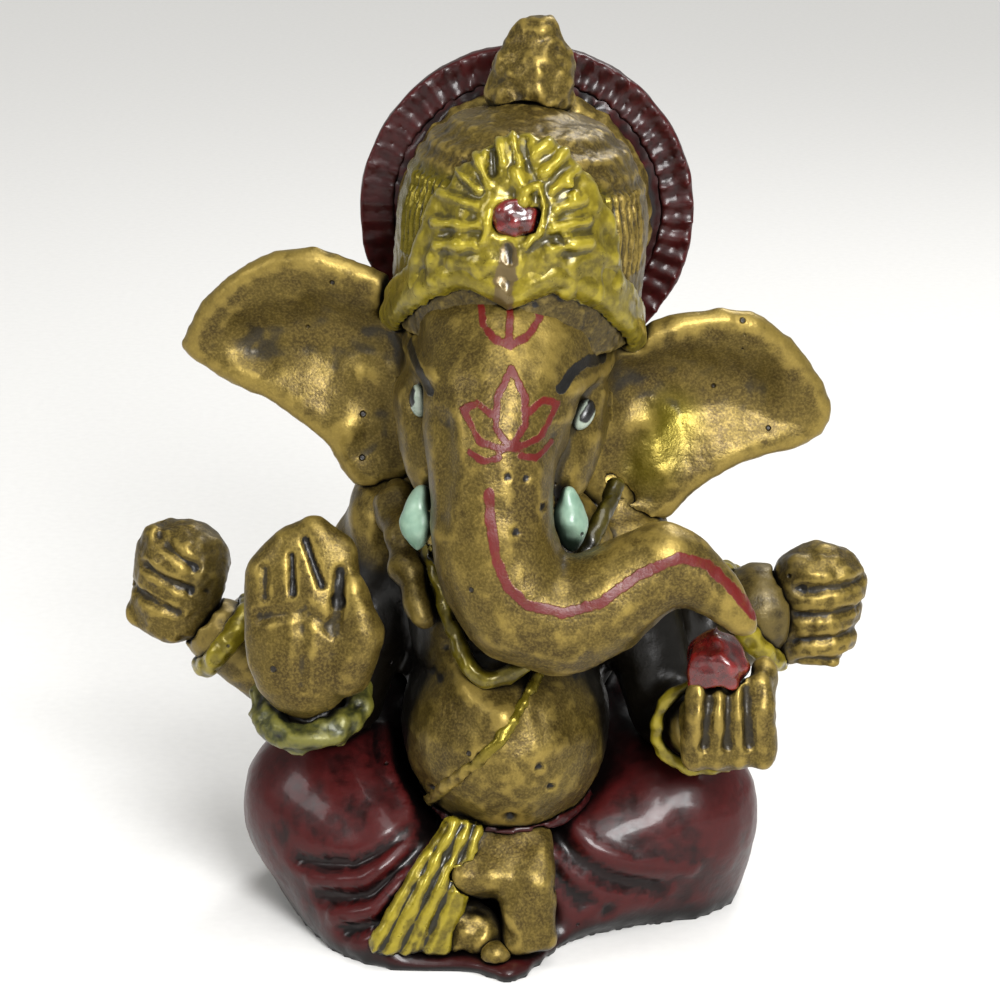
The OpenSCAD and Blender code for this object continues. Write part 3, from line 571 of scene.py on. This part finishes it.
for side, gaps in (
    ("right", (((-1.4, 5.0), (1.9, 2.6)), ((-2.6, 2.2), (1.4, 0.2)), ((-4.0, -0.4), (0.2, -2.0)))),
    ("left", (((-2.2, 2.6), (3.6, 2.9)), ((-2.2, 0.1), (3.8, 0.4)), ((-2.2, -2.4), (3.6, -2.1)),
              ((-2.0, -4.6), (2.6, -4.3)))),
):
    fist = skin(side + "_rear_hand_cast", [side + "_rear_hand"], 0.4, 5)
    knuckles = middle(side + "_rear_hand")
    for start, end in gaps:
        press(fist, [(knuckles[0] + start[0], knuckles[2] + start[1]),
                     (knuckles[0] + end[0], knuckles[2] + end[1])], 0.85, 0.5, dark=0.08)
    lumps(fist, 2.2, 0.3, 11.0 if side == "right" else 12.0)
    lumps(fist, 0.8, 0.1, 13.0)
    # The side of each fist towards the body is painted darker: painted shade.
    co, out = points(fist)
    inward = (co[:, 0] - knuckles[0]) * (1 if side == "right" else -1)
    tint(fist, "wash_and_shade", np.clip((inward - 0.4) / 2.4, 0, 1) * 0.5)
    settle(fist, side + "_rear_hand", gilt)

hand = skin("right_front_hand_and_thumb", ["right_front_hand", "right_thumb"], 0.44, 8)
palm = middle("right_front_hand")
for line, reach, depth, dark in (
    ([(-0.8, 5.9), (-0.7, 2.9)], 0.5, 0.5, 0.6),
    ([(0.4, 7.2), (1.8, 3.6)], 0.55, 0.5, 0.6),
    ([(-3.1, 4.6), (-3.2, 2.4)], 0.7, 0.3, 0.1),
    ([(3.4, 4.6), (3.2, 2.2)], 0.8, 0.5, 0.4),
    ([(3.2, 2.2), (2.8, -0.4)], 0.9, 0.3, 0.0),
    ([(-3.6, 0.6), (0.4, 1.6), (2.2, 0.2)], 1.0, 0.35, 0.1),
    ([(0.2, 0.6), (0.0, -5.0)], 1.1, 0.25, 0.1),
):
    press(hand, [(palm[0] + x, palm[2] + z) for x, z in line], reach, depth, front=-14, dark=dark)
lumps(hand, 1.8, 0.14, 14.0)
wear(hand)
root = (palm[0] + 3.0, 0, palm[2])
settle(part(hand, "right_front_hand_cast", (root, (-1.0, 0, -0.25))), "right_front_hand", gilt)
settle(part(hand, "right_thumb_cast", (root, (1.0, 0, 0.25))), "right_thumb", gilt)
bpy.data.objects.remove(hand)

cup = skin("left_front_hand_cast", ["left_front_hand"], 0.4, 10)
grip = middle("left_front_hand")
for x in (-2.2, -0.2, 1.7):
    press(cup, [(grip[0] + x * 0.8, grip[2] + 3.4), (grip[0] + x, grip[2] - 1.6)], 0.8, 0.4, dark=0.12)
lumps(cup, 1.6, 0.2, 15.0)
settle(cup, "left_front_hand", gilt)

# Red enamel over a rough lump, thick enough to run and shine.
red = painted("red_enamel", "#7A1816", "#4E0F0F", "#2C0808", "#0B0303", 0.0, 0.25, grain_mm=0.7,
              grain=0.02, coat=0.5)
sweet = skin("sweet_cast", ["sweet"], 0.36, 3)
lumps(sweet, 1.7, 0.6, 16.0)
settle(sweet, "sweet", red)


# ---- Bangles ----
# Thick rings at the wrists, cast on the arms. Three are lacquered yellow; the one under the raised
# palm is broad, ruffled and brushed pale green, worn to gold on its crests.

for name in ("right_rear_bangle", "left_rear_bangle", "left_front_bangle"):
    ring = skin(name + "_cast", [name], 0.4, 3)
    lumps(ring, 1.2, 0.3, 17.0)
    tint(ring, "wash_and_shade", np.full(len(ring.data.vertices), 0.2))
    settle(ring, name, lacquered)

# Pale green paint, dry-brushed over dark: chalky, with the gold showing where it is worn.
jade = painted("pale_green_dry_brushed", "#77722C", "#383A18", "#22240E", "#080803", 0.25, 0.4,
               grain_mm=0.4, grain=0.03)
cuff = skin("right_front_bangle_cast", ["right_front_bangle"], 0.4, 4)
lumps(cuff, 1.5, 0.7, 18.0)
tint(cuff, "wash_and_shade", np.full(len(cuff.data.vertices), 0.15))
settle(cuff, "right_front_bangle", jade)


# ---- Head, trunk and ears ----
# One skin: a broad forehead runs down into the trunk, which bends to the figure's left, and the ears
# are thick dished fans with rolled rims. Brow marks and the stroke on the trunk are brushed on.

head = skin("head_and_ears", ["head", "trunk", "right_ear", "left_ear"], 0.62, 8)
brow = middle("head")
# Eye sockets and the creases beside the trunk are darkened a little as they are pressed: painted shade.
for side, eye in ((-1, middle("right_eye")), (1, middle("left_eye"))):
    press(head, [tuple(eye)], 3.2, 0.8, dark=0.15)
    press(head, [(eye[0] - side * 2.6, eye[2] - 0.5), (eye[0] - side * 2.8, eye[2] - 4),
                 (eye[0] - side * 2.2, eye[2] - 8)], 1.8, 0.5, front=-9, dark=0.05)
    press(head, [(eye[0] - side * 1.6, eye[2] + 3.2), (eye[0] + side * 1.4, eye[2] + 2.8)], 1.2, -0.4)
# The groove under each ear's rolled rim is darkened: painted shade under the rim.
for side, ear in ((-1, middle("right_ear")), (1, middle("left_ear"))):
    rim = [(ear[0] - side * 7.0, ear[2] + 5.2), (ear[0] - side * 2.0, ear[2] + 6.6),
           (ear[0] + side * 4.0, ear[2] + 5.0)]
    press(head, [(x, z - 2.4) for x, z in rim], 3.8, 0.9, dark=0.08)
    press(head, [(ear[0] - side * 5.0, ear[2] - 1.0), (ear[0] - side * 4.4, ear[2] - 5.0)], 3.0, -0.7)
lumps(head, 3.4, 0.14, 19.0)
lumps(head, 1.2, 0.05, 20.0)
co, out = points(head)
ear_root = [(15.5, -1.5, 45.5), (13.6, -1.5, 41.0)]
tint(head, "lacquer", np.clip(1 - away(co, ear_root) / 4.0, 0, 1))

# The stroke down the trunk, the cup-shaped brow mark with its middle line, and a lotus below it.
tip = middle("trunk")
stripe = [(-8.0, 0.2), (-7.8, -2.7), (-7.4, -5.1), (-6.5, -7.5), (-4.8, -9.1), (-1.8, -9.9),
          (1.3, -9.1), (4.6, -6.9), (8.0, -5.5), (10.4, -6.4), (12.6, -8.6), (14.6, -11.2)]
cross = tip[0] - 6.2
level = tip[2]
cup_mark = [(-2.5, 14.3), (-2.3, 12.9), (-1.4, 11.9), (0.0, 11.5), (1.5, 12.0), (2.5, 13.2),
            (2.4, 14.3)]
petal = [(0.0, 3.8), (-1.2, 5.4), (-1.1, 7.6), (0.1, 9.8), (1.2, 7.7), (1.3, 5.5), (0.0, 3.8)]
leaf = [(-0.4, 3.7), (-2.6, 4.3), (-4.0, 6.6), (-2.7, 7.2), (-1.6, 6.4)]
curl = [(-0.9, 3.1), (-2.2, 2.7), (-3.4, 3.4)]
co, out = points(head)
front = (out[:, 1] < 0.1) & (co[:, 1] < brow[1] - 4)
inside = np.full(len(co), -9.0)
for line, half in (
    ([(tip[0] + x, tip[2] + z) for x, z in stripe], 0.5),
    ([(cross + x, level + z) for x, z in cup_mark], 0.38),
    ([(cross, level + 14.0), (cross - 0.1, level + 11.6)], 0.4),
    ([(cross + x, level + z) for x, z in petal], 0.36),
    ([(cross + x, level + z) for x, z in leaf], 0.36),
    ([(cross - x, level + z) for x, z in leaf], 0.36),
    ([(cross + x, level + z) for x, z in curl], 0.34),
    ([(cross - x, level + z) for x, z in curl], 0.34),
):
    inside = np.maximum(inside, half - away(co, line))
tint(head, "red", np.where(front, np.clip(inside, -2, 2), -2) + 2)
inside = np.maximum(0.55 - away(co, [(brow[0] - 8.3, brow[2] + 6.4), (brow[0] - 7.5, brow[2] + 5.6),
                                    (brow[0] - 6.3, brow[2] + 4.3)]),
                    0.55 - away(co, [(brow[0] + 4.9, brow[2] + 4.7), (brow[0] + 5.9, brow[2] + 5.7),
                                    (brow[0] + 7.2, brow[2] + 6.0), (brow[0] + 8.6, brow[2] + 5.2)]))
tint(head, "black", np.where(front, np.clip(inside, -2, 2), -2) + 2)
for x, z in ((-6.4, 1.5), (-4.9, 1.2), (-3.4, -1.5), (-5.7, -3.1)):
    press(head, [(tip[0] + x, tip[2] + z)], 0.4, 0.35, front=-12, dark=1.6)
wear(head)
co, out = points(head)
# Painted highlights laid into the crest layer: the brow twice, the bend of the trunk, each ear's root,
# and the front of the trunk.
for spot, reach, amount in (((2.9, -11.9, 8.45), 5.0, 0.9), ((-2.3, -10.9, 8.95), 3.5, 0.5),
                            ((9.7, -16.4, -8.05), 4.0, 0.4), ((13.2, 2.6, -4.05), 4.5, 0.5),
                            ((-15.3, 2.6, -5.05), 4.5, 0.4), ((0.7, -21.4, -8.05), 3.5, 0.3)):
    painted_highlight = np.clip(1 - away(co, [tuple(brow + np.array(spot))]) / reach, 0, 1)
    tint(head, "crest_and_highlight", painted_highlight * amount)

face = ((0, brow[1] - 8.2, brow[2] + 13.6), (0, brow[1] - 4.4, brow[2] - 8.0))
slope = (face[0][1] - face[1][1]) / (face[0][2] - face[1][2])
muzzle, behind = (face[0], (0, -1, slope)), (face[0], (0, 1, -slope))
temple = (brow[0] - 9.5, brow[0] + 9.7)
settle(part(head, "trunk_cast", muzzle), "trunk", gilt)
settle(part(head, "head_cast", behind, ((temple[0], 0, 0), (1, 0, 0)), ((temple[1], 0, 0), (-1, 0, 0))),
       "head", gilt)
settle(part(head, "right_ear_cast", behind, ((temple[0], 0, 0), (-1, 0, 0))), "right_ear", gilt)
settle(part(head, "left_ear_cast", behind, ((temple[1], 0, 0), (1, 0, 0))), "left_ear", gilt)
bpy.data.objects.remove(head)


# ---- Eyes and tusks ----
# The eyes are low almond swellings, painted off-white with a slanting black pupil. The tusks are short
# drops set in the cheeks and painted pale aqua.

# White enamel, slightly green where it thins, with black brushed on.
white = painted("eye_white_enamel", "#B4BAAC", "#8E9A8A", "#66786C", "#15150F", 0.0, 0.3, grain_mm=0.6,
                grain=0.008, wash_and_shade=0.7)
for side, name in ((-1, "right_eye"), (1, "left_eye")):
    centre = middle(name)
    work = bmesh.new()
    bmesh.ops.create_uvsphere(work, u_segments=40, v_segments=24, radius=1.0)
    bmesh.ops.scale(work, vec=(0.9, 0.9, 1.45), verts=work.verts)
    bmesh.ops.rotate(work, cent=(0, 0, 0), verts=work.verts,
                     matrix=Matrix.Rotation(math.radians(38.0 if side > 0 else -8.0), 3, "Y"))
    bmesh.ops.rotate(work, cent=(0, 0, 0), verts=work.verts,
                     matrix=Matrix.Rotation(math.radians(side * 42.0), 3, "Z"))
    bmesh.ops.translate(work, vec=centre + np.array((-side * 0.5, 0.9, -0.3)), verts=work.verts)
    bmesh.ops.scale(work, vec=(0.001, 0.001, 0.001), verts=work.verts)
    mesh = bpy.data.meshes.new(name + "_cast")
    work.to_mesh(mesh)
    work.free()
    eye = show(name + "_cast", mesh)
    co, out = points(eye)
    pupil = [(centre[0] + side * 0.4, centre[2] + 0.7), (centre[0] - 0.4, centre[2] - 0.3)]
    tint(eye, "black", np.clip(0.55 - away(co, pupil), -2, 2) + 2)
    settle(eye, name, white)

# Pale aqua gloss paint over white.
aqua = painted("aqua_gloss_paint", "#8FA48E", "#7A9482", "#5C7A68", "#141D16", 0.0, 0.35, grain_mm=0.8,
               grain=0.01, wash_and_shade=0.8)
for side in ("right", "left"):
    tusk = skin(side + "_tusk_cast", [side + "_tusk"], 0.3, 2)
    co, out = points(tusk)
    centre = middle(side + "_tusk")
    share = (co[:, 2] - centre[2]) / 2.9
    squeeze = np.where(share < 0, 1 - 0.35 * share ** 2, 1 - 0.16 * share)
    co[:, :2] = centre[:2] + (co[:, :2] - centre[:2]) * squeeze[:, None]
    place(tusk, co)
    lumps(tusk, 1.8, 0.3, 21.0)
    settle(tusk, side + "_tusk", aqua)


# ---- Crown ----
# A tall cap with a rolled brim behind it, a fan of leaves in front, a double scalloped band over the
# brow and a rough knob on top. The front is lacquered yellow; the rest is bare gilt.

cap = skin("crown_cap_cast", ["crown_cap"], 0.5, 5)
dome = middle("crown_cap")
co, out = points(cap)
top = 1000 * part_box("crown_cap")[1].z
drop = top - co[:, 2] - 0.087 * (co[:, 0] - dome[0])
ridge = np.where(drop < 7.5, 0.09 * np.sin(drop * 2 * math.pi / 1.5), 0.0)
# rings round the dome every 1.5 mm, and two patches of upright rays beside the plate
turn = np.arctan2(co[:, 0] - dome[0], -(co[:, 1] - dome[1]))
strip = (drop > 6) & (drop < 13) & (np.abs(turn) > 0.72) & (np.abs(turn) < 1.25)
rays = np.where(strip, 0.2 * np.sin(turn * 11.4 * 2 * math.pi / 0.95), 0.0)
place(cap, co + out * ((ridge + rays) * (out[:, 2] > -0.5))[:, None])
lumps(cap, 1.1, 0.12, 22.0)
lumps(cap, 0.6, 0.08, 22.5)
co, out = points(cap)
above = np.clip((co[:, 2] - middle("crown_jewel")[2] + 6.5) / 1.2, 0, 1)
tint(cap, "lacquer", np.clip((1.4 - np.abs(turn + 0.5)) / 0.2, 0, 1) * np.clip((drop - 4.5) / 1.5, 0, 1)
     * above)
# Painted shade on the cap's front low down, behind the plate and band.
tint(cap, "wash_and_shade", (1 - above) * (co[:, 1] < -4) * 0.45)
settle(cap, "crown_cap", gilt)

brim = skin("crown_rim_cast", ["crown_rim"], 0.4, 4)
lumps(brim, 1.2, 0.35, 23.0)
settle(brim, "crown_rim", gilt)

# The plate goes on down behind the band, so no gap shows where the band lies over it.
plate = skin("crown_plate_cast", ["crown_plate", "crown_band"], 0.44, 12)
jewel = middle("crown_jewel")
co, out = points(plate)
place(plate, co - out * 0.3 * np.clip((jewel[2] - 3.4 - co[:, 2]) / 1.5, 0, 1)[:, None])
for line, reach, rise in (
    # the middle leaf and its veins
    ([(-1.5, 7.2), (-1.0, 4.7)], 0.5, 0.4), ([(-0.2, 7.0), (0.5, 4.7)], 0.5, 0.4),
    ([(0.2, 4.0), (0.8, 2.0)], 0.8, 0.5),
    # the long curl beside the jewel
    ([(0.9, 2.6), (2.1, 2.9), (2.5, 1.2), (2.1, -0.9), (1.0, -1.9)], 0.45, 0.45),
    # leaves to the figure's left
    ([(1.4, 5.2), (2.8, 6.1)], 0.6, 0.4), ([(2.4, 3.9), (4.2, 5.3)], 0.7, 0.5),
    ([(3.2, 2.6), (5.0, 3.8)], 0.7, 0.5), ([(3.6, 1.0), (5.8, 1.6)], 0.6, 0.4),
    ([(3.2, -0.6), (6.2, -0.2)], 0.6, 0.5), ([(3.0, -2.2), (6.2, -2.0)], 0.8, 0.5),
    ([(4.6, 3.0)], 0.6, 0.4), ([(5.0, 2.0)], 0.6, 0.4), ([(4.2, -1.2)], 0.7, 0.5),
    # leaves to its right
    ([(-2.1, 3.0), (-3.5, 5.4)], 0.6, 0.35), ([(-3.0, 2.4), (-5.2, 4.0)], 0.5, 0.35),
    ([(-3.2, 1.2), (-6.4, 1.8)], 0.6, 0.35), ([(-3.0, -0.4), (-6.8, -0.6)], 0.6, 0.4),
    ([(-2.0, 0.6), (-2.6, -1.6)], 0.5, 0.35), ([(-3.4, -2.0), (-6.4, -2.4)], 0.8, 0.4),
):
    press(plate, [(jewel[0] + x, jewel[2] + z) for x, z in line], reach, -rise)
for line in ([(-2.0, 6.6), (-1.8, 4.0)], [(1.0, 6.4), (1.3, 4.4)], [(1.7, 0.8), (1.5, -0.6)],
             [(-0.6, -1.8), (-0.4, -3.2)]):
    press(plate, [(jewel[0] + x, jewel[2] + z) for x, z in line], 0.6, 0.3, dark=0.1)
lumps(plate, 1.5, 0.34, 24.0)
co, out = points(plate)
tint(plate, "bare", np.clip(1.3 - away(co, [(jewel[0] - 0.5, jewel[2] - 2.6),
                                            (jewel[0] - 0.9, jewel[2] - 6.5)]), 0, 1))
settle(plate, "crown_plate", lacquered)

scallop = skin("crown_band_cast", ["crown_band"], 0.44, 16)
co, out = points(scallop)
co[:, 2] -= 1.9 * np.clip(1 - np.abs(co[:, 0] - jewel[0] + 0.6) / 4.4, 0, 1) ** 1.4 * (co[:, 1] < -10)
place(scallop, co)
lumps(scallop, 1.8, 0.14, 25.0)
co, out = points(scallop)
tint(scallop, "bare", np.clip(1.3 - away(co, [(jewel[0] - 0.9, jewel[2] - 5.0),
                                              (jewel[0] - 0.9, jewel[2] - 9.0)]), 0, 1))
settle(scallop, "crown_band", lacquered)

stone = skin("crown_jewel_cast", ["crown_jewel"], 0.3, 2)
co, out = points(stone)
co[:, 1] += (co[:, 1].max() - co[:, 1]) * 0.3
place(stone, co + out * 0.15)
lumps(stone, 1.2, 0.4, 26.0)
settle(stone, "crown_jewel", red)

knob = skin("crown_finial_cast", ["crown_finial"], 0.4, 5)
lumps(knob, 2.6, 0.7, 27.0)
lumps(knob, 0.9, 0.2, 28.0)
settle(knob, "crown_finial", gilt)


# ---- Halo ----
# A flat disc behind the crown with a rayed rim, cast with it and brushed maroon. The enamel is
# thick enough to soften the rays, most of all low on the figure's right.

rim = skin("halo_rim_cast", ["halo_rim"], 0.4, 3)
co, out = points(rim)
hub = middle("halo_rim")
turn = np.arctan2(co[:, 2] - hub[2], co[:, 0] - hub[0])
# the rays stand proud by less where the enamel is thick, which is low on the right
fronts = co[:, 1] < hub[1] - 0.2
level = np.where(fronts, np.median(co[fronts, 1]), co[:, 1])
strength = 0.65 + 0.35 * np.cos(turn - 0.7)
co[:, 1] = level + (co[:, 1] - level) * strength
place(rim, co)
lumps(rim, 2.5, 0.14, 29.0)
co, out = points(rim)
radius = np.hypot(co[:, 0] - hub[0], co[:, 2] - hub[2])
tint(rim, "wash_and_shade", np.clip(1 - np.abs(radius - radius.min() - 0.2) / 0.7, 0, 1) * 0.6)
settle(rim, "halo_rim", maroon)
disc = skin("halo_disc_cast", ["halo_disc", "halo_rim", "crown_rim"], 0.5, 3)
co, out = points(disc)
place(disc, co - out * 0.25)
lumps(disc, 3.0, 0.15, 30.0)
settle(disc, "halo_disc", maroon)
